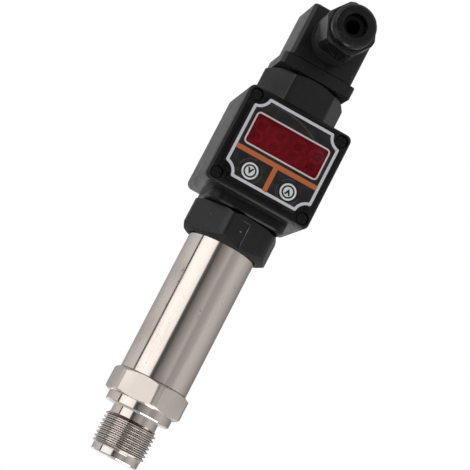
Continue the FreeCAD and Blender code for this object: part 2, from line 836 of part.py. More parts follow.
def plug_base():
    flange = rounded_plate(-base_half_x, base_half_x, base_front_y, base_rear_y,
                           base_z, base_top_z, base_corner_r)
    neck = rod(base_neck_r, adapter_top_z, base_z)
    spigot = rod(adapter_bore_r - SEATED_FIT, base_spigot_z, adapter_top_z)
    body = fuse_all(flange, [neck, spigot])
    tools = blades(blade_width, blade_thickness, base_spigot_z, base_top_z)
    tools.append(rod(fixing_screw_hole_r, base_spigot_z, base_top_z))
    tools.append(rod(insert_r, base_spigot_z, base_spigot_z + insert_length))
    return cut_all(body, tools)


def contact_pins():
    return Part.makeCompound(blades(blade_width, blade_thickness,
                                    base_spigot_z - blade_tail, blade_top_z))


def fixing_insert():
    return ring(insert_r, fixing_screw_r + RUNNING_FIT, base_spigot_z,
                base_spigot_z + insert_length)


def socket_cavity(low, high, gap):
    """Space inside the socket's walls, less a gap all round."""
    inset = socket_wall + gap
    return block(-socket_half_x + inset, socket_half_x - inset,
                 socket_front_y + inset, socket_rear_y - inset, low, high)


def profile_gasket():
    pad = socket_cavity(base_top_z, base_top_z + profile_gasket_height, MOVING_GAP)
    slots = blades(blade_width, blade_thickness, base_top_z, terminal_z)
    return cut_all(pad, slots + [rod(fixing_screw_hole_r + MOVING_GAP, base_top_z, terminal_z)])


# --- cable socket ----------------------------------------------------------------------
def socket_housing():
    shell = rounded_plate(-socket_half_x, socket_half_x, socket_front_y, socket_rear_y,
                          socket_z, socket_top_z, socket_edge_r)
    top_edges = [e for e in shell.Edges if min(v.Z for v in e.Vertexes) > socket_top_z - 1e-6]
    shell = shell.makeFillet(socket_top_r, top_edges)
    roof_z = socket_top_z - socket_roof
    boss = rod_y(gland_boss_r, socket_front_y + socket_wall, gland_boss_y, 0, gland_z)
    spigot = rod_y(gland_spigot_r, gland_boss_y, gland_spigot_y, 0, gland_z)
    body = fuse_all(shell, [boss, spigot]).cut(socket_cavity(socket_z, roof_z, 0))
    body = fuse_all(body, [rod(column_r, terminal_top_z, roof_z)])
    tools = [rod_y(gland_seal_pocket_r, seal_rear_y, gland_spigot_y, 0, gland_z),
             rod_y(gland_passage_r, socket_front_y + socket_wall, seal_rear_y, 0, gland_z),
             rod(fixing_screw_r + 2 * RUNNING_FIT, terminal_top_z, socket_top_z),
             rod(fixing_head_r + MOVING_GAP, ring_seat_z, socket_top_z)]
    return cut_all(body, tools)


def terminal_block():
    insert = socket_cavity(terminal_z, terminal_top_z, 0)
    tools = blades(contact_width, contact_thickness, terminal_z, terminal_top_z)
    tools.append(rod(fixing_screw_hole_r, terminal_z, terminal_top_z))
    return cut_all(insert, tools)


def socket_contacts():
    top_z = terminal_z + contact_height
    slot_width = blade_width + 2 * contact_slot_clearance
    slot_thickness = blade_thickness + 2 * contact_slot_clearance
    contacts = []
    for quarter in range(4):
        outer = blade(contact_width / 2, contact_thickness / 2, terminal_z, top_z, quarter)
        slot = blade(slot_width / 2, slot_thickness / 2, terminal_z, top_z - contact_lid, quarter)
        contacts.append(outer.cut(slot))
    return Part.makeCompound(contacts)


def terminal_screws():
    low = terminal_z + contact_height
    screws = []
    for quarter in range(4):
        screw = rod(terminal_screw_r, low, low + terminal_screw_height, blade_ring_r, 0)
        slot = block(blade_ring_r - terminal_screw_r, blade_ring_r + terminal_screw_r,
                     -screw_slot_width / 2, screw_slot_width / 2,
                     low + terminal_screw_height - screw_slot_depth, low + terminal_screw_height)
        screws.append(turn(screw.cut(slot), 90 * quarter))
    return Part.makeCompound(screws)


def screw_o_ring():
    return ring(fixing_head_r, fixing_screw_r + 2 * RUNNING_FIT, ring_seat_z, ring_top_z)


def fixing_screw():
    head_top_z = fixing_head_z + fixing_head_height
    head = rod(fixing_head_r, fixing_head_z, head_top_z)
    slot = block(-fixing_head_r, fixing_head_r, -screw_slot_width, screw_slot_width,
                 head_top_z - 2 * screw_slot_depth, head_top_z)
    return head.cut(slot).fuse(rod(fixing_screw_r, fixing_tip_z, fixing_head_z))


# --- cable gland -----------------------------------------------------------------------
def turned_y(profile):
    """Solid of revolution about the gland's axis from (r, y) corners."""
    points = [V(r, y, gland_z) for r, y in profile]
    wire = Part.makePolygon(points + points[:1])
    return Part.Face(wire).revolve(V(0, 0, gland_z), V(0, 1, 0), 360)


def gland_seal():
    outer_r = gland_seal_pocket_r - SEATED_FIT
    nose_y = seal_front_y - seal_nose_length
    return turned_y([(cable_hole_r, seal_rear_y), (outer_r, seal_rear_y),
                     (outer_r, gland_spigot_y), (washer_r - RUNNING_FIT, gland_spigot_y),
                     (washer_r - RUNNING_FIT, seal_front_y), (seal_nose_r, seal_front_y),
                     (seal_nose_r, nose_y), (cable_hole_r, nose_y)])


def gland_washer():
    inner_r = seal_nose_r + RUNNING_FIT
    return turned_y([(inner_r, washer_rear_y), (washer_r, washer_rear_y),
                     (washer_r, washer_y), (inner_r, washer_y)])


def gland_nut():
    """Hexagon cap nut with a rounded nose turned on its front, round the cable's hole."""
    hex_front_y = nut_rear_y - gland_nut_hex_length
    shoulder_y = nut_nose_y + gland_nut_nose_round
    face_r = gland_nut_nose_r - gland_nut_nose_round
    arc_mid = gland_nut_nose_round * sqrt(0.5)
    arc = Part.Arc(V(gland_nut_nose_r, shoulder_y, gland_z),
                   V(face_r + arc_mid, shoulder_y - arc_mid, gland_z),
                   V(face_r, nut_nose_y, gland_z)).toShape()
    chamfer_y = hex_front_y + gland_nut_chamfer * tan(radians(30))
    outline = [V(face_r, nut_nose_y, gland_z), V(0, nut_nose_y, gland_z),
               V(0, nut_rear_y, gland_z), V(gland_nut_turned_r, nut_rear_y, gland_z),
               V(gland_nut_turned_r, chamfer_y, gland_z),
               V(gland_nut_turned_r - gland_nut_chamfer, hex_front_y, gland_z),
               V(gland_nut_nose_r, hex_front_y, gland_z),
               V(gland_nut_nose_r, shoulder_y, gland_z)]
    edges = [Part.LineSegment(a, b).toShape() for a, b in zip(outline, outline[1:])]
    blank = Part.Face(Part.Wire([arc] + edges)).revolve(V(0, 0, gland_z), V(0, 1, 0), 360)
    hexa = hexagon(gland_nut_af, 0, gland_nut_length, gland_nut_flat_angle)
    hexa.rotate(V(0, 0, 0), V(1, 0, 0), 90)
    hexa.translate(V(0, nut_rear_y, gland_z))
    nut = hexa.common(blank)
    nut = nut.cut(rod_y(gland_spigot_r + RUNNING_FIT, nut_rear_y, nut_floor_y, 0, gland_z))
    return nut.cut(rod_y(gland_nut_hole_r, nut_rear_y, nut_nose_y, 0, gland_z))


# --- every piece, by node name -----------------------------------------------------------
def pieces():
    low_header, high_header = lead_header_levels()
    made = {
        "process_fitting": process_fitting(),
        "pressure_cell": pressure_cell(),
        "cell_o_ring": cell_o_ring(),
        "cell_retaining_ring": cell_retaining_ring(),
        "cell_pins": cell_pins(),
        "cell_board": cell_board(),
        "amplifier_board": amplifier_board(),
        "amplifier_components": amplifier_components(),
        "barrel_tube": barrel_tube(),
        "barrel_bush": barrel_bush(),
        "swivel_o_ring": swivel_o_ring(),
        "union_nut": union_nut(),
        "display_housing": display_housing(),
        "cover_gasket": cover_gasket(),
        "front_cover": front_cover(),
        "front_label": front_label(),
        "display_window": display_window(),
        "cover_screws": cover_screws(),
        "board_screws": board_screws(),
        "display_board": display_board(),
        "digit_module": digit_module(),
        "digit_segments": digit_segments(),
        "key_switches": key_switches(),
        "display_components": display_components(),
        "signal_lead": lead(bush_web_z, low_header),
        "supply_lead": lead(base_spigot_z, high_header),
        "hex_adapter": hex_adapter(),
        "plug_base": plug_base(),
        "contact_pins": contact_pins(),
        "fixing_insert": fixing_insert(),
        "profile_gasket": profile_gasket(),
        "socket_housing": socket_housing(),
        "terminal_block": terminal_block(),
        "socket_contacts": socket_contacts(),
        "terminal_screws": terminal_screws(),
        "screw_o_ring": screw_o_ring(),
        "fixing_screw": fixing_screw(),
        "gland_seal": gland_seal(),
        "gland_washer": gland_washer(),
        "gland_nut": gland_nut(),
    }
    for name, x in key_places().items():
        made[name] = key(x)
    return made


os.makedirs("parts", exist_ok=True)
for name, shape in pieces().items():
    shape.exportStep("parts/" + name + ".step")
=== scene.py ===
"""A screw-in pressure transmitter with a swivelling display head, dressed for the studio.

Everything is in metres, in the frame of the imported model: +Z runs up the barrel from the
thread, the display faces -Y, and the origin is the mouth of the pressure port.
"""
from math import asin, cos, pi, radians, sin, tan

import bmesh
import bpy
from mathutils import Matrix, Vector


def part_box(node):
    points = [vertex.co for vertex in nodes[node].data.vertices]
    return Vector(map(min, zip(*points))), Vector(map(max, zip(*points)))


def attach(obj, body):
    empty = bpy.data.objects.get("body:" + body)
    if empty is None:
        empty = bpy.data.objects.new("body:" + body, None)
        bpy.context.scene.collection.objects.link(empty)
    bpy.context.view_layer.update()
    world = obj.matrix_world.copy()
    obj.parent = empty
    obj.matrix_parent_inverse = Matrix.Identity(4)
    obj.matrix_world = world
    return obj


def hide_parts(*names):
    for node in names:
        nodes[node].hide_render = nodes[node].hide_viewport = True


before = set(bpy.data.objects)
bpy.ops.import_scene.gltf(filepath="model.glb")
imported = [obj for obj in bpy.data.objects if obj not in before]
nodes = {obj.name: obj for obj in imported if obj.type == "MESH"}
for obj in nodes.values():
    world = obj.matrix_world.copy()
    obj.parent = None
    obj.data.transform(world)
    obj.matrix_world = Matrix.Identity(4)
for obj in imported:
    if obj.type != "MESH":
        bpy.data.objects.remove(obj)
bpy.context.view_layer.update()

# --- camera ----------------------------------------------------------------------------------
# A long lens looks up at the standing transmitter from a little below, with the camera
# rolled, so the instrument leans to the right across the frame.
MM = 0.001
camera_target = Vector((1.9, -0.3, 91.9)) * MM
camera_distance = 0.673
camera_azimuth = radians(-8)
camera_elevation = radians(-9.5)
camera_roll = radians(27.35)

camera_data = bpy.data.cameras.new("studio_camera")
camera_data.sensor_width = 36
camera_data.lens = 141.7
camera_data.clip_start = 0.01
camera = bpy.data.objects.new("studio_camera", camera_data)
camera.matrix_world = (Matrix.Translation(camera_target)
                       @ Matrix.Rotation(camera_azimuth, 4, "Z")
                       @ Matrix.Rotation(pi / 2 - camera_elevation, 4, "X")
                       @ Matrix.Rotation(camera_roll, 4, "Z")
                       @ Matrix.Translation((0, 0, camera_distance)))
bpy.context.scene.collection.objects.link(camera)
bpy.context.scene.camera = camera
bpy.context.scene.view_settings.view_transform = "Standard"


# --- studio ----------------------------------------------------------------------------------
# A white room with one tall soft light in front on the left, a narrow black flag at its
# outer edge, a dark patch where the camera stands and a pale floor well below the part.
class Socket:
    """One output of a shader. The signs + - * / ** on it add Math nodes."""

    def __init__(self, tree, output):
        self.tree = tree
        self.output = output

    def add(self, kind, settings, inputs, out=0):
        """Adds a node, gives it its settings, then the values or links of its sockets."""
        node = self.tree.nodes.new(kind)
        for name, value in settings.items():
            if name == "stops":
                set_stops(node.color_ramp, value)
            else:
                setattr(node, name, value)
        for name, value in inputs.items():
            if isinstance(value, Socket):
                self.tree.links.new(value.output, node.inputs[name])
            else:
                node.inputs[name].default_value = value
        return Socket(self.tree, node.outputs[out])

    def maths(self, operation, first, second=0.0):
        """A Math node on one or two values or sockets."""
        return self.add("ShaderNodeMath", {"operation": operation}, {0: first, 1: second})

    def axis(self, letter):
        """One coordinate of a vector."""
        return self.add("ShaderNodeSeparateXYZ", {}, {0: self}, letter)

    def step(self, low, high):
        """0 below low, 1 above high and a smooth rise between them."""
        return self.add("ShaderNodeMapRange", {"interpolation_type": "SMOOTHSTEP"},
                        {"Value": self, "From Min": low, "From Max": high})

    def mix(self, first, second):
        """Colour between two others by this factor."""
        return self.add("ShaderNodeMix", {"data_type": "RGBA"},
                        {"Factor": self, "A": first, "B": second}, "Result")

    def __add__(self, other):
        return self.maths("ADD", self, other)

    def __radd__(self, other):
        return self.maths("ADD", other, self)

    def __sub__(self, other):
        return self.maths("SUBTRACT", self, other)

    def __rsub__(self, other):
        return self.maths("SUBTRACT", other, self)

    def __mul__(self, other):
        return self.maths("MULTIPLY", self, other)

    def __rmul__(self, other):
        return self.maths("MULTIPLY", other, self)

    def __truediv__(self, other):
        return self.maths("DIVIDE", self, other)

    def __pow__(self, other):
        return self.maths("POWER", self, other)


def grey(value):
    """An opaque grey, as a colour socket takes it."""
    return (value, value, value, 1)


def set_stops(ramp, stops):
    """Gives a ramp its stops, as (place, value) in rising order."""
    while len(ramp.elements) > 1:
        ramp.elements.remove(ramp.elements[-1])
    for number, (place, value) in enumerate(stops):
        element = ramp.elements[0] if number == 0 else ramp.elements.new(place)
        element.position = place
        element.color = grey(value)


# brightness of the walls round the part: (degrees to the right of the camera, value)
room_light = [(-180, 0.30), (-172, 0.46), (-158, 0.44), (-150, 0.46), (-129, 0.60),
              (-105, 0.72), (-81, 0.78), (-80, 0.02), (-74.5, 0.02), (-73.5, 1.32),
              (-55, 1.50), (-36, 1.42), (-20, 1.25), (-17, 0.14), (-9, 0.07), (2, 0.24),
              (20, 0.42), (31, 0.56), (42, 0.40), (55, 0.44), (75, 0.66), (90, 0.64),
              (110, 0.52), (145, 0.29), (165, 0.22), (180, 0.30)]
ceiling_light = 0.66
floor_z = -0.25
floor_half = 12

world = bpy.data.worlds.new("studio_room")
bpy.context.scene.world = world
world.use_nodes = True
world_tree = world.node_tree
world_tree.nodes.clear()
direction = Socket(world_tree, world_tree.nodes.new("ShaderNodeTexCoord").outputs["Generated"])
facing = direction.add("ShaderNodeMapping", {"vector_type": "POINT"},
                       {"Vector": direction, "Rotation": (0, 0, -camera_azimuth)})
turn_right = facing.maths("ARCTAN2", facing.axis("X"), facing.axis("Y") * -1.0)
round_room = turn_right.add("ShaderNodeValToRGB",
                            {"stops": [((a + 180) / 360, v) for a, v in room_light]},
                            {"Fac": turn_right / (2 * pi) + 0.5})
overhead = direction.axis("Z").step(0.45, 0.9)
room = overhead.mix(round_room, grey(ceiling_light))
seen = direction.add("ShaderNodeLightPath", {}, {}, "Is Camera Ray")
shown = seen.mix(room, grey(1.0))
background = shown.add("ShaderNodeBackground", {}, {"Color": shown, "Strength": 1.0})
output = world_tree.nodes.new("ShaderNodeOutputWorld")
world_tree.links.new(background.output, output.inputs["Surface"])

floor_mesh = bpy.data.meshes.new("studio_floor")
floor_build = bmesh.new()
bmesh.ops.create_grid(floor_build, x_segments=1, y_segments=1, size=floor_half)
bmesh.ops.translate(floor_build, verts=floor_build.verts, vec=(0, 0, floor_z))
floor_build.to_mesh(floor_mesh)
floor_build.free()
floor = bpy.data.objects.new("studio_floor", floor_mesh)
bpy.context.scene.collection.objects.link(floor)


class Finish:
    """A material with one Principled shader, and the nodes that feed it."""

    def __init__(self, name, constants):
        self.material = bpy.data.materials.new(name)
        self.material.use_nodes = True
        tree = self.material.node_tree
        self.shader = tree.nodes["Principled BSDF"]
        self.place = Socket(tree, tree.nodes.new("ShaderNodeTexCoord").outputs["Object"])
        for key, value in constants.items():
            self.shader.inputs[key].default_value = value

    def feed(self, socket, value):
        """Links what varies over the surface to a socket of the shader."""
        self.place.tree.links.new(value.output, self.shader.inputs[socket])

    def noise(self, scale, detail=2.0, stretch=(1, 1, 1)):
        """Noise from 0 to 1 with scale times stretch blotches a metre along each axis."""
        place = self.place.add("ShaderNodeMapping", {"vector_type": "POINT"},
                               {"Vector": self.place, "Scale": stretch})
        return place.add("ShaderNodeTexNoise", {},
                         {"Vector": place, "Scale": scale, "Detail": detail}, "Fac")

    def relief(self, height, depth):
        """Bumps of the given depth where height is 1."""
        bump = height.add("ShaderNodeBump", {},
                          {"Height": height, "Distance": depth, "Strength": 1.0}, "Normal")
        self.feed("Normal", bump)

    def on(self, *pieces):
        """Gives pieces this finish in place of what they have."""
        for piece in pieces:
            piece.data.materials.clear()
            piece.data.materials.append(self.material)


# painted light: the floor glows more with distance, as a lit sweep brightens, and meets the
# white room
sweep_start = 2.6
sweep_end = 7.0
pale_floor = Finish("pale_floor", {"Roughness": 0.9, "Emission Strength": 1.0})
pale_floor.feed("Base Color", pale_floor.noise(3.0).mix(grey(0.76), grey(0.79)))
distance = (pale_floor.place.axis("X") ** 2 + pale_floor.place.axis("Y") ** 2) ** 0.5
pale_floor.feed("Emission Color",
                distance.step(sweep_start, sweep_end).mix(grey(0), grey(0.5)))
pale_floor.on(floor)

# three hanging lamps light pools on the floor beside the part, which its steel reflects;
# each has its turn from +X in degrees, its reach from the part's axis, and its power
pool_size = 0.25
pool_spread = radians(80)
pool_z = 0.45
for turn, reach, power in ((-140, 0.66, 1.5), (-20, 0.74, 1.0), (95, 0.70, 1.3)):
    pool = bpy.data.lights.new("floor_pool", "AREA")
    pool.shape = "DISK"
    pool.size = pool_size
    pool.spread = pool_spread
    pool.energy = power
    pool_lamp = bpy.data.objects.new("floor_pool", pool)
    pool_lamp.location = (reach * cos(radians(turn)), reach * sin(radians(turn)), pool_z)
    pool_lamp.visible_camera = False
    bpy.context.scene.collection.objects.link(pool_lamp)

# a low panel on the right, which shines upwards, lights the faces that look down
low_panel = bpy.data.lights.new("low_panel", "AREA")
low_panel.shape = "RECTANGLE"
low_panel.size = 0.10
low_panel.size_y = 0.28
low_panel.energy = 0.25
low_panel_lamp = bpy.data.objects.new("low_panel", low_panel)
low_panel_lamp.location = (0.060, -0.065, -0.116)
low_panel_lamp.rotation_euler = (pi, 0, 0)
low_panel_lamp.visible_camera = False
bpy.context.scene.collection.objects.link(low_panel_lamp)


def cad_copy(node):
    """Mesh of a CAD piece, with its triangles joined and its flat faces made whole."""
    build = bmesh.new()
    build.from_mesh(nodes[node].data)
    bmesh.ops.remove_doubles(build, verts=build.verts, dist=0.002 * MM)
    bmesh.ops.dissolve_limit(build, angle_limit=radians(0.3), verts=build.verts,
                             edges=build.edges)
    return build


def make_piece(name, build, body, finish, sharp=30, edge=0.0):
    """Object from a mesh in the making: smooth but for its sharp edges, which edge rounds."""
    for face in build.faces:
        face.smooth = True
    for line in build.edges:
        line.smooth = len(line.link_faces) == 2 and line.calc_face_angle() < radians(sharp)
    mesh = bpy.data.meshes.new(name)
    build.to_mesh(mesh)
    build.free()
    piece = bpy.data.objects.new(name, mesh)
    bpy.context.scene.collection.objects.link(piece)
    if edge:
        rounding = piece.modifiers.new("edge", "BEVEL")
        rounding.width = edge
        rounding.segments = 3
        rounding.limit_method = "ANGLE"
        rounding.angle_limit = radians(sharp)
        rounding.harden_normals = True
        rounding.use_clamp_overlap = True
    finish.on(piece)
    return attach(piece, body)


def set_radius(vert, radius):
    """Moves a corner straight in or out, to the given distance from the part's axis."""
    scale = radius / vert.co.xy.length
    vert.co.x *= scale
    vert.co.y *= scale


steel_tint = (0.71, 0.637, 0.588)
thread_r = 10.0 * MM
thread_root_r = 9.08 * MM
thread_core_r = 8.6 * MM
thread_pitch = 1.5 * MM
thread_low = 2.6 * MM
thread_high = 14.8 * MM
thread_chamfer = 1.0 * MM
thread_steps = 96
thread_rounding = 0.04 * MM
relief_r = 8.8 * MM
collar_top = 21.4 * MM
allowance = 0.01 * MM

# bright where it is turned, and matt with a fine sparkle on the milled flats of the hexagon
turned_steel = Finish("turned_stainless_steel", {"Metallic": 1.0})
height = turned_steel.place.axis("Z")
milled = height.step(collar_top, collar_top + 0.1 * MM)
cloud = turned_steel.noise(90, 3)
grain = turned_steel.noise(1.0, 3, stretch=(60, 60, 9000))
sparkle = turned_steel.noise(2600, 2)
shade = 0.84 + 0.10 * grain + 0.12 * cloud + milled * (sparkle * 0.16 - 0.10)
turned_steel.feed("Base Color", shade.mix(grey(0), (*steel_tint, 1)))
turned_steel.feed("Roughness", 0.06 + 0.04 * cloud + milled * 0.18)
turned_steel.relief(grain * (1 - milled) + sparkle * milled * 1.5, 0.0012 * MM)

# painted shade: the flanks between root and crest are darker steel than both, for the dark
# reflections between the crests
threaded_steel = Finish("threaded_stainless_steel", {"Metallic": 1.0})
radius = (threaded_steel.place.axis("X") ** 2 + threaded_steel.place.axis("Y") ** 2) ** 0.5
flank = (radius.step(thread_root_r + 0.04 * MM, thread_root_r + 0.14 * MM)
         * (1 - radius.step(thread_r - 0.14 * MM, thread_r - 0.06 * MM)))
cloud = threaded_steel.noise(400, 3)
shade = (1.0 - 0.64 * flank) * (0.8 + 0.3 * cloud)
threaded_steel.feed("Base Color", shade.mix(grey(0.01), (*steel_tint, 1)))
threaded_steel.feed("Roughness", 0.07 + 0.04 * flank + 0.05 * cloud)
threaded_steel.relief(cloud, 0.0008 * MM)


def thread_build():
    """One pitch of the profile swept up its helix, trimmed to length and chamfered."""
    turns = int((thread_high - thread_low) / thread_pitch) + 3
    build = bmesh.new()
    # half a pitch: flat root, its rounding, the flank, and the rounding of the flat crest
    half = [(thread_root_r, 0), (thread_root_r, 0.13 * MM),
            (thread_root_r + thread_rounding, 0.18 * MM),
            (thread_r - thread_rounding, 0.56 * MM), (thread_r, 0.62 * MM)]
    profile = half + [(r, thread_pitch - z) for r, z in reversed(half)]
    low = thread_low - 1.5 * thread_pitch
    points = [build.verts.new((r, 0, low + z)) for r, z in profile]
    for first, second in zip(points, points[1:]):
        build.edges.new((first, second))
    bmesh.ops.spin(build, geom=build.verts[:] + build.edges[:], cent=(0, 0, 0),
                   axis=(0, 0, 1), dvec=(0, 0, thread_pitch / thread_steps),
                   angle=2 * pi * turns, steps=thread_steps * turns)
    bmesh.ops.remove_doubles(build, verts=build.verts, dist=0.005 * MM)
    for level, way in ((thread_low, -1), (thread_high, 1)):
        bmesh.ops.bisect_plane(build, geom=build.verts[:] + build.edges[:] + build.faces[:],
                               plane_co=(0, 0, level), plane_no=(0, 0, way), clear_outer=True,
                               dist=0.0001 * MM)
    for vert in build.verts:
        depth = min(vert.co.z - thread_low, thread_high - vert.co.z)
        limit = thread_r - thread_chamfer + depth
        if vert.co.xy.length > limit:
            set_radius(vert, limit)
    return build


def close_tube(build, inner_r):
    """Turns an open sleeve into a closed tube, with a wall of its own inside it."""
    rims = [line for line in build.edges if len(line.link_faces) == 1]
    made = bmesh.ops.extrude_edge_only(build, edges=rims)["geom"]
    for part in made:
        if isinstance(part, bmesh.types.BMVert):
            set_radius(part, inner_r)
    loops = [line for line in build.edges if len(line.link_faces) == 1]
    bmesh.ops.bridge_loops(build, edges=loops)
    bmesh.ops.recalc_face_normals(build, faces=build.faces)


thread = thread_build()
close_tube(thread, thread_core_r)
thread_piece = make_piece("process_thread", thread, "barrel",
                          threaded_steel, sharp=40)

fitting = cad_copy("process_fitting")
for vert in fitting.verts:
    threaded = thread_low + allowance < vert.co.z < thread_high + allowance
    if threaded and vert.co.xy.length > relief_r + allowance:
        set_radius(vert, relief_r)
fitting_piece = make_piece("fitting_body", fitting, "barrel",
                           turned_steel, edge=0.12 * MM)
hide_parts("process_fitting")


# --- barrel ----------------------------------------------------------------------------------
# A ground stainless tube pressed on the fitting's spigot. Its lower rim shows as a fine dark
# joint, and its skin has a few faint handling marks.
joint_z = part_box("barrel_tube")[0].z
barrel_steel = Finish("ground_stainless_steel", {"Metallic": 1.0})
cloud = barrel_steel.noise(60, 3)
grain = barrel_steel.noise(1.0, 3, stretch=(500, 500, 25))
brushed = barrel_steel.noise(1.0, 4, stretch=(900, 900, 45))
spots = barrel_steel.noise(420, 1, stretch=(1, 1, 0.6)).step(0.72, 0.78)
joint = 1 - (barrel_steel.place.axis("Z") - joint_z).step(0.05 * MM, 0.4 * MM)
soiled = joint.maths("MAXIMUM", joint * 0.85, spots * 0.3)
fine_lines = barrel_steel.noise(1.0, 2, stretch=(6000, 6000, 220))
smudge = barrel_steel.noise(1.0, 4, stretch=(150, 150, 55)).step(0.50, 0.72)
waves = barrel_steel.noise(1.0, 1, stretch=(160, 160, 110))
speckle = barrel_steel.noise(1500, 3)
lustre = (0.56 + 0.18 * grain + 0.14 * cloud + 0.22 * brushed + 0.14 * fine_lines
          + 0.22 * speckle)
shade = lustre * (1 - soiled) * (1 - 0.15 * smudge)
tint = smudge.mix((*steel_tint, 1), (0.70, 0.60, 0.56, 1))
barrel_steel.feed("Base Color", shade.mix(grey(0.01), tint))
barrel_steel.feed("Roughness",
                  0.06 + 0.04 * cloud + 0.05 * brushed + 0.2 * soiled + 0.07 * smudge)
barrel_steel.relief(grain + brushed * 0.5 + waves * 16.0, 0.002 * MM)
barrel_steel.on(nodes["barrel_tube"])


# --- pressure cell and amplifier -------------------------------------------------------------
# The steel cell sits on its seal under a retaining ring. Its five pins carry a small round
# board, and the long amplifier board stands above it in the tube.
def rubber(name, shade):
    """Matt black rubber with a faint bloom."""
    finish = Finish(name, {"Roughness": 0.7, "Specular IOR Level": 0.3})
    bloom = finish.noise(700, 3)
    finish.feed("Base Color", bloom.mix(grey(shade), grey(shade * 1.6)))
    finish.relief(bloom, 0.01 * MM)
    return finish


def plated(name, colour, roughness):
    """Plated metal with fine uneven brightness."""
    finish = Finish(name, {"Metallic": 1.0})
    cloud = finish.noise(900, 3)
    finish.feed("Base Color", (0.8 + 0.2 * cloud).mix(grey(0), (*colour, 1)))
    finish.feed("Roughness", roughness + 0.1 * cloud)
    return finish


def circuit_board():
    """Green varnish over copper tracks on a 1.27 mm raster, with bare pads."""
    finish = Finish("green_board", {})
    blocks = finish.place.add("ShaderNodeTexVoronoi", {"distance": "CHEBYCHEV"},
                              {"Vector": finish.place, "Scale": 780, "Randomness": 0.35},
                              "Distance")
    track = blocks.step(0.16, 0.20) * (1 - blocks.step(0.36, 0.40))
    weave = finish.noise(2500, 2)
    finish.feed("Base Color", track.mix((0.012, 0.11, 0.045, 1), (0.03, 0.20, 0.075, 1)))
    finish.feed("Roughness", 0.28 + 0.15 * weave)
    finish.relief(track + 0.3 * weave, 0.03 * MM)
    return finish


black_rubber = rubber("black_rubber", 0.012)
tinned = plated("tinned_contact_metal", (0.80, 0.80, 0.77), 0.22)
green_board = circuit_board()

chip_black = Finish("component_black", {"Specular IOR Level": 0.4})
speckle = chip_black.noise(3000, 2)
chip_black.feed("Base Color", speckle.mix((0.012, 0.012, 0.013, 1), (0.03, 0.03, 0.032, 1)))
chip_black.feed("Roughness", 0.45 + 0.2 * speckle)
chip_black.relief(speckle, 0.01 * MM)

turned_steel.on(nodes["pressure_cell"], nodes["cell_retaining_ring"])
black_rubber.on(nodes["cell_o_ring"], nodes["swivel_o_ring"])
tinned.on(nodes["cell_pins"])
green_board.on(nodes["cell_board"], nodes["amplifier_board"])
chip_black.on(nodes["amplifier_components"])


# --- union nut and swivel bush ---------------------------------------------------------------
# Moulded black nylon. The bush carries the head on a turned boss, and the hexagon nut draws
# the head down on it; one flat has a shallow pad with a gate mark.
def nylon(name, shade, roughness, gloss, scale=1.0, dull_below=0.0):
    """Moulded glass-filled nylon: near black, satin, with a fine uneven skin."""
    finish = Finish(name, {"Specular IOR Level": gloss})
    fine = finish.noise(2600 * scale, 3)
    broad = finish.noise(170, 3)
    pale = (broad * 0.7 + fine * 0.3).step(0.3, 0.75)
    rubbed = finish.noise(330, 5).step(0.54, 0.72)
    specks = finish.noise(900, 0).step(0.82, 0.85)
    normal = finish.place.add("ShaderNodeNewGeometry", {}, {}, "Normal")
    below = 1 - normal.axis("Z").step(-0.7, -0.2)
    moulded = pale.mix((shade, shade, shade * 1.03, 1),
                       (shade * 2.2, shade * 2.2, shade * 2.25, 1))
    handled = (rubbed * 0.8).mix(moulded, (shade * 4, shade * 3.9, shade * 3.8, 1))
    finish.feed("Base Color", (specks * 0.14).mix(handled, (0.30, 0.30, 0.29, 1)))
    finish.feed("Roughness", roughness + 0.10 * pale + 0.12 * rubbed + dull_below * below)
    finish.relief(fine + broad * 2, 0.006 * MM)
    return finish


black_nylon = nylon("black_nylon", 0.0025, 0.27, 0.46, dull_below=0.5)
black_nylon.on(nodes["barrel_bush"])
nut_piece = make_piece("union_nut_moulding", cad_copy("union_nut"), "union_nut",
                       black_nylon, edge=0.15 * MM)
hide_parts("union_nut")

# a thin flash stands along the pad's edge, in pale nylon: a painted highlight for the light
# that
# # its ridge catches. The gate mark beside it is in the same pale nylon. The flat that they
# are on
# # is worked on as if it faced +X, and turned to its place at the end
flat_r = 16.0 * MM
flat_angle = radians(-74)
nut_low, nut_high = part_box("union_nut")
pad_edge = -1.5 * MM
pad_low = nut_low.z + 0.9 * MM
pad_high = nut_high.z - 2.0 * MM
gate_y = -3.66 * MM
gate_z = (nut_low.z + nut_high.z) / 2
flash_length = 3.0 * MM
flash_width = 0.14 * MM
flash_rise = 0.04 * MM
flash_highlight_nylon = nylon("pale_nylon_painted_highlight", 0.11, 0.4, 0.5)
flash = bmesh.new()
flash_top = pad_high + flash_width
for y_low, z_low, y_high, z_high in ((pad_edge, pad_low, pad_edge + flash_width, flash_top),
                                     (pad_edge - flash_length, pad_high, pad_edge, flash_top)):
    strip = bmesh.ops.create_cube(flash, size=1)["verts"]
    bmesh.ops.scale(flash, verts=strip, vec=(2 * flash_rise, y_high - y_low, z_high - z_low))
    bmesh.ops.translate(flash, verts=strip,
                        vec=(flat_r, (y_low + y_high) / 2, (z_low + z_high) / 2))
gate = bmesh.ops.create_cone(flash, cap_ends=True, segments=24, radius1=0.38 * MM,
                             radius2=0.28 * MM, depth=0.06 * MM)["verts"]
bmesh.ops.rotate(flash, verts=gate, matrix=Matrix.Rotation(pi / 2, 3, "Y"))
bmesh.ops.translate(flash, verts=gate, vec=(flat_r, gate_y, gate_z))
bmesh.ops.rotate(flash, verts=flash.verts, matrix=Matrix.Rotation(flat_angle, 3, "Z"))
make_piece("union_nut_flash", flash, "union_nut", flash_highlight_nylon)


# --- display housing -------------------------------------------------------------------------
# A moulded black box with a square neck under it. The front cover, with its raised plateau,
# closes its mouth on a black rubber gasket, and all the outer corners are softly rounded.
black_case = nylon("black_case_plastic", 0.003, 0.28, 0.27, 1.4)
black_case.shader.inputs["Specular Tint"].default_value = (1.0, 0.955, 0.95, 1)
housing_piece = make_piece("display_housing_shell", cad_copy("display_housing"), "head",
                           black_case, edge=0.18 * MM)
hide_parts("display_housing")
black_rubber.on(nodes["cover_gasket"])

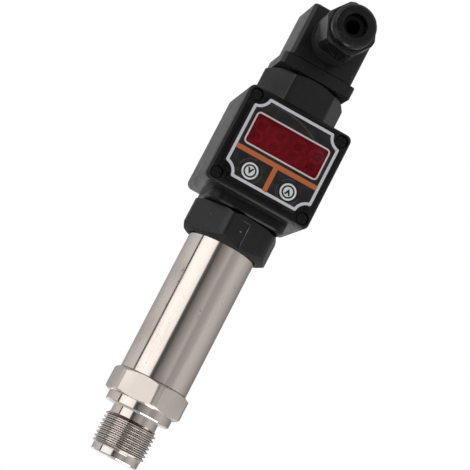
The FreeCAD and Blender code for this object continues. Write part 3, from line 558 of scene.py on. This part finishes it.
cover_piece = make_piece("front_cover_shell", cad_copy("front_cover"), "head",
                         black_case, edge=0.15 * MM)
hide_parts("front_cover")


# --- front label -----------------------------------------------------------------------------
# A smoky polycarbonate film, printed from behind: a silver border, orange dividing lines and
# a pale line round the window. The print is laid on as thin ink layers.
film_low, film_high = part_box("front_label")
film_front = film_low.y
film_mid_x = (film_low.x + film_high.x) / 2
film_mid_z = (film_low.z + film_high.z) / 2
film_half_w = (film_high.x - film_low.x) / 2
film_half_h = (film_high.z - film_low.z) / 2
screw_x = 17.4 * MM
screw_z = 15.725 * MM
notch_r = 4.2 * MM
border_width = 1.15 * MM
ink_depth = 0.02 * MM
ink_clear = 0.01 * MM

window_low, window_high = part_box("display_window")
window_half_w = 14.25 * MM
window_half_h = 5.65 * MM
window_mid_z = (window_low.z + window_high.z) / 2
key_x = 7.7 * MM
key_z = (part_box("down_key")[0].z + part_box("down_key")[1].z) / 2

smoky_film = Finish("smoky_label_film", {"Specular IOR Level": 0.28})
mottle = smoky_film.noise(330, 3)
warmth = smoky_film.noise(150, 2, stretch=(1, 1, 1.4))
tone = mottle.step(0.3, 0.7).mix((0.009, 0.008, 0.008, 1), (0.022, 0.019, 0.019, 1))
hue = warmth.step(0.42, 0.60).mix((0.95, 0.95, 1.12, 1), (1.15, 1.0, 0.90, 1))
film_colour = tone.add("ShaderNodeMix", {"data_type": "RGBA", "blend_type": "MULTIPLY"},
                       {"Factor": 1.0, "A": tone, "B": hue}, "Result")


def film_arc(x, z, radius, width):
    """1 on a thin circle about a place on the film, fading out across its width."""
    off_x = smoky_film.place.axis("X") - x
    off_z = smoky_film.place.axis("Z") - z
    reach = (off_x ** 2 + off_z ** 2) ** 0.5
    return 1 - reach.maths("ABSOLUTE", reach - radius).step(0.0, width)


# a shallow embossed ring round each key, and above the window two long hairline scratches
emboss_r = 4.4 * MM
emboss_width = 0.25 * MM
rings = (film_arc(-key_x, key_z, emboss_r, emboss_width)
         + film_arc(key_x, key_z, emboss_r, emboss_width))
scratches = (film_arc(-7.7 * MM, 104.7 * MM, 30.0 * MM, 0.16 * MM)
             + film_arc(-10.3 * MM, 95.2 * MM, 40.1 * MM, 0.12 * MM) * 0.6)
scratches = scratches * smoky_film.place.axis("Z").step(130.2 * MM, 131.0 * MM)
marks = rings * 0.35 * mottle.step(0.35, 0.6) + scratches * 0.5
smoky_film.feed("Base Color", marks.mix(film_colour, grey(0.16)))
smoky_film.feed("Roughness", 0.36 + 0.12 * mottle + 0.15 * marks)
smoky_film.relief(warmth * 3 + mottle + rings * 2.0, 0.012 * MM)
smoky_film.on(nodes["front_label"])


def ink(name, colour, roughness=0.45):
    """Screen-printed ink with a faint unevenness."""
    finish = Finish(name, {"Specular IOR Level": 0.4})
    grain = finish.noise(1800, 2)
    darker = tuple(c * 0.88 for c in colour)
    finish.feed("Base Color", grain.mix((*darker, 1), (*colour, 1)))
    finish.feed("Roughness", roughness + 0.1 * grain)
    return finish


silver_ink = ink("silver_ink", (0.62, 0.62, 0.66))
orange_ink = ink("orange_ink", (0.50, 0.135, 0.04))
pale_ink = ink("pale_ink", (0.66, 0.56, 0.56))
black_ink = ink("black_ink", (0.006, 0.006, 0.006))


def notched_outline(inset):
    """Corners and scoops of the label's outline, moved inwards, as (x, z) places."""
    half_w = film_half_w - inset
    half_h = film_half_h - inset
    scoop_r = notch_r + inset
    side = asin((half_w - screw_x) / scoop_r)
    level = asin((half_h - screw_z) / scoop_r)
    points = []
    for quarter, (sx, sz) in enumerate([(1, 1), (-1, 1), (-1, -1), (1, -1)]):
        start, end = -pi / 2 + side, -pi - level
        turns = [start + (end - start) * i / 12 for i in range(13)]
        corner = [(sx * (screw_x + scoop_r * cos(a)), sz * (screw_z + scoop_r * sin(a)))
                  for a in turns]
        points += corner if sx * sz > 0 else corner[::-1]
    return points


def ink_plate(name, build, y, body, finish):
    """Thin layer of ink from flat faces in the XZ plane, standing on the film at y."""
    bmesh.ops.recalc_face_normals(build, faces=build.faces)
    made = bmesh.ops.extrude_face_region(build, geom=build.faces[:])["geom"]
    front = [part for part in made if isinstance(part, bmesh.types.BMVert)]
    bmesh.ops.translate(build, verts=front, vec=(0, -ink_depth, 0))
    bmesh.ops.translate(build, verts=build.verts, vec=(0, y - ink_clear, 0))
    bmesh.ops.recalc_face_normals(build, faces=build.faces)
    return make_piece(name, build, body, finish)


def outline_face(build, points):
    """Flat face in the XZ plane through the given places."""
    return build.faces.new([build.verts.new((x, 0, z)) for x, z in points])


def round_corners(build, face, radius):
    """Rounds every corner of a flat face that turns by more than 30 degrees."""
    sharp = [loop.vert for loop in face.loops
             if abs(pi - loop.calc_angle()) > radians(30)]
    bmesh.ops.bevel(build, geom=sharp, offset=radius, offset_type="OFFSET", segments=4,
                    profile=0.5, affect="VERTICES", material=-1)


def band(build, outer, inner, outer_round, inner_round):
    """Band between two outlines with the same number of corners."""
    for points, radius in ((outer, outer_round), (inner, inner_round)):
        face = outline_face(build, points)
        round_corners(build, face, radius)
    bmesh.ops.delete(build, geom=build.faces[:], context="FACES_ONLY")
    bmesh.ops.bridge_loops(build, edges=build.edges[:])


border = bmesh.new()
band(border, notched_outline(0.1 * MM), notched_outline(border_width), 0.6 * MM, 0.3 * MM)
bmesh.ops.translate(border, verts=border.verts, vec=(film_mid_x, 0, film_mid_z))
ink_plate("label_border", border, film_front, "head", silver_ink)


def rectangle(half_w, half_h):
    """Corners of a rectangle about the origin, as (x, z) places."""
    return [(half_w, half_h), (-half_w, half_h), (-half_w, -half_h), (half_w, -half_h)]


divider_z = 115.8 * MM
divider_half = 0.9 * MM
divider_top = divider_z + divider_half
divider_low = divider_z - divider_half
inner_half_w = film_half_w - border_width + 0.05 * MM
inner_low = film_low.z + border_width - 0.3 * MM
divider = bmesh.new()
outline_face(divider, [(inner_half_w, divider_top), (-inner_half_w, divider_top),
                       (-inner_half_w, divider_low), (-divider_half, divider_low),
                       (-divider_half, inner_low), (divider_half, inner_low),
                       (divider_half, divider_low), (inner_half_w, divider_low)])
ink_plate("label_dividing_lines", divider, film_front - ink_depth, "head",
          orange_ink)

line_width = 0.6 * MM
window_corner_r = 1.0 * MM
window_line = bmesh.new()
band(window_line, rectangle(window_half_w + line_width, window_half_h + line_width),
     rectangle(window_half_w, window_half_h), window_corner_r + line_width, window_corner_r)
bmesh.ops.translate(window_line, verts=window_line.verts, vec=(film_mid_x, 0, window_mid_z))
ink_plate("window_line", window_line, film_front, "head", pale_ink)


# --- window and digits -----------------------------------------------------------------------
# A deep red filter pane over a four-digit LED module. The unlit segments only just show
# through it, a little redder than the module's dark face.
red_pane = Finish("red_filter_pane",
                  {"Roughness": 0.12, "Specular IOR Level": 0.16, "Alpha": 0.4})
tint = red_pane.noise(120, 2).step(0.35, 0.65)
# a pale painted reflection lies over the upper right end of the pane
painted_reflection = (red_pane.place.axis("X").step(8 * MM, 12 * MM)
        * red_pane.place.axis("Z").step(122 * MM, 126 * MM) * red_pane.noise(260, 3))
deep_red = tint.mix((0.18, 0.0005, 0.004, 1), (0.25, 0.002, 0.012, 1))
red_pane.feed("Base Color", (painted_reflection * 0.5).mix(deep_red, (0.26, 0.05, 0.08, 1)))
red_pane.on(nodes["display_window"])

module_face = Finish("module_face", {"Roughness": 0.5})
smudge = module_face.noise(400, 2)
module_face.feed("Base Color", smudge.mix((0.15, 0.006, 0.010, 1), (0.22, 0.010, 0.016, 1)))
module_face.on(nodes["digit_module"])

segment_red = Finish("unlit_segments", {"Roughness": 0.4})
milky = segment_red.noise(900, 2)
segment_red.feed("Base Color", milky.mix((0.36, 0.012, 0.022, 1), (0.48, 0.022, 0.034, 1)))
segment_red.on(nodes["digit_segments"])

# painted shade: two near-black plates to a digit, between its segments, stand for the shade in
# the
# # wells where the module's face is sunk
digit_count = 4
digit_pitch = 7.4 * MM
digit_lean = tan(radians(8))
well_level = 2.15 * MM
well_half_w = 1.25 * MM
well_half_h = 1.15 * MM
wells = bmesh.new()
for digit in range(digit_count):
    for level in (-well_level, well_level):
        middle = (digit - (digit_count - 1) / 2) * digit_pitch + level * digit_lean
        outline_face(wells, [(middle + x + z * digit_lean, window_mid_z + level + z)
                             for x, z in rectangle(well_half_w, well_half_h)])
well_shade_ink = ink("digit_well_painted_shade", (0.010, 0.004, 0.003))
ink_plate("digit_well_shade_plates", wells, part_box("digit_module")[0].y, "head", well_shade_ink)


# --- keys ------------------------------------------------------------------------------------
# Two round pale caps that press in by 0.3 mm. Each is printed with a black ring round
# a chevron: down on the left, up on the right.
cap_grey = ink("pale_key_cap", (0.74, 0.75, 0.76), 0.4)
ring_r = 2.1 * MM
ring_width = 0.58 * MM
chevron_half_w = 0.85 * MM
chevron_half_h = 1.2 * MM
chevron_stroke = 0.72 * MM


def key_print(name, x, key, point):
    """Ring and chevron on one key; point is 1 for a chevron that points up."""
    build = bmesh.new()
    for r in (ring_r + ring_width / 2, ring_r - ring_width / 2):
        bmesh.ops.create_circle(build, segments=64, radius=r, cap_ends=False)
    bmesh.ops.bridge_loops(build, edges=build.edges[:])
    bmesh.ops.rotate(build, verts=build.verts, matrix=Matrix.Rotation(pi / 2, 3, "X"))
    w, h, s = chevron_half_w, chevron_half_h * point, chevron_stroke
    outline_face(build, [(0, h), (-w - s / 2, -h), (-w + s / 2, -h), (0, h - 2 * s * point),
                         (w - s / 2, -h), (w + s / 2, -h)])
    bmesh.ops.translate(build, verts=build.verts, vec=(x, 0, key_z))
    return ink_plate(name, build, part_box(key)[0].y, key, black_ink)


key_print("down_key_print", -key_x, "down_key", -1)
key_print("up_key_print", key_x, "up_key", 1)
cap_grey.on(nodes["down_key"], nodes["up_key"])


# --- screws ----------------------------------------------------------------------------------
# Blackened cover screws sink into round recesses at the corners; plain steel screws hold the
# display board to its posts.
black_steel = plated("blackened_steel", (0.034, 0.034, 0.036), 0.24)
black_steel.on(nodes["cover_screws"])
tinned.on(nodes["board_screws"])


# --- display electronics ---------------------------------------------------------------------
# The display board stands on four posts inside the cover, with the switches in front of it and
# the controller, capacitors and lead headers behind. The leads run in soft black sleeves.
green_board.on(nodes["display_board"])
chip_black.on(nodes["key_switches"], nodes["display_components"])
black_rubber.on(nodes["signal_lead"], nodes["supply_lead"])


# --- adapter and plug base -------------------------------------------------------------------
# A moulded hexagon stands on the box and takes the square plug base, whose four flat blades
# point up into the cable socket. A brass insert takes the fixing screw.
nylon_edge = 0.2 * MM
adapter_piece = make_piece("hex_adapter_moulding", cad_copy("hex_adapter"), "head",
                           black_nylon, edge=nylon_edge)
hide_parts("hex_adapter")
base_piece = make_piece("plug_base_moulding", cad_copy("plug_base"), "head",
                        black_nylon, edge=nylon_edge)
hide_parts("plug_base")
tinned.on(nodes["contact_pins"])
plated("turned_brass", (0.78, 0.60, 0.30), 0.25).on(nodes["fixing_insert"])
black_rubber.on(nodes["profile_gasket"])


# --- cable socket ----------------------------------------------------------------------------
# A black nylon housing that holds the terminal block and its contacts, with the long fixing
# screw down its middle and the gland's spigot on its front.
socket_piece = make_piece("socket_housing_moulding", cad_copy("socket_housing"), "socket",
                          black_nylon, edge=nylon_edge)
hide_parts("socket_housing")
black_nylon.on(nodes["terminal_block"])
tinned.on(nodes["socket_contacts"], nodes["terminal_screws"], nodes["fixing_screw"])
black_rubber.on(nodes["screw_o_ring"])


# --- cable gland -----------------------------------------------------------------------------
# The rubber seal grips the cable when the hexagon cap nut squeezes it through the washer.
# Nut and washer are moulded in black nylon, and the nut, which is handled, is glossier.
glossy_nylon = nylon("glossy_black_nylon", 0.003, 0.17, 0.34)
gland_piece = make_piece("gland_nut_moulding", cad_copy("gland_nut"), "gland_nut",
                         glossy_nylon, edge=nylon_edge)
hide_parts("gland_nut")
black_nylon.on(nodes["gland_washer"])
# the seal in the nut's hole is a darker rubber than the others: painted shade for the hole
rubber("seal_rubber_painted_shade", 0.003).on(nodes["gland_seal"])
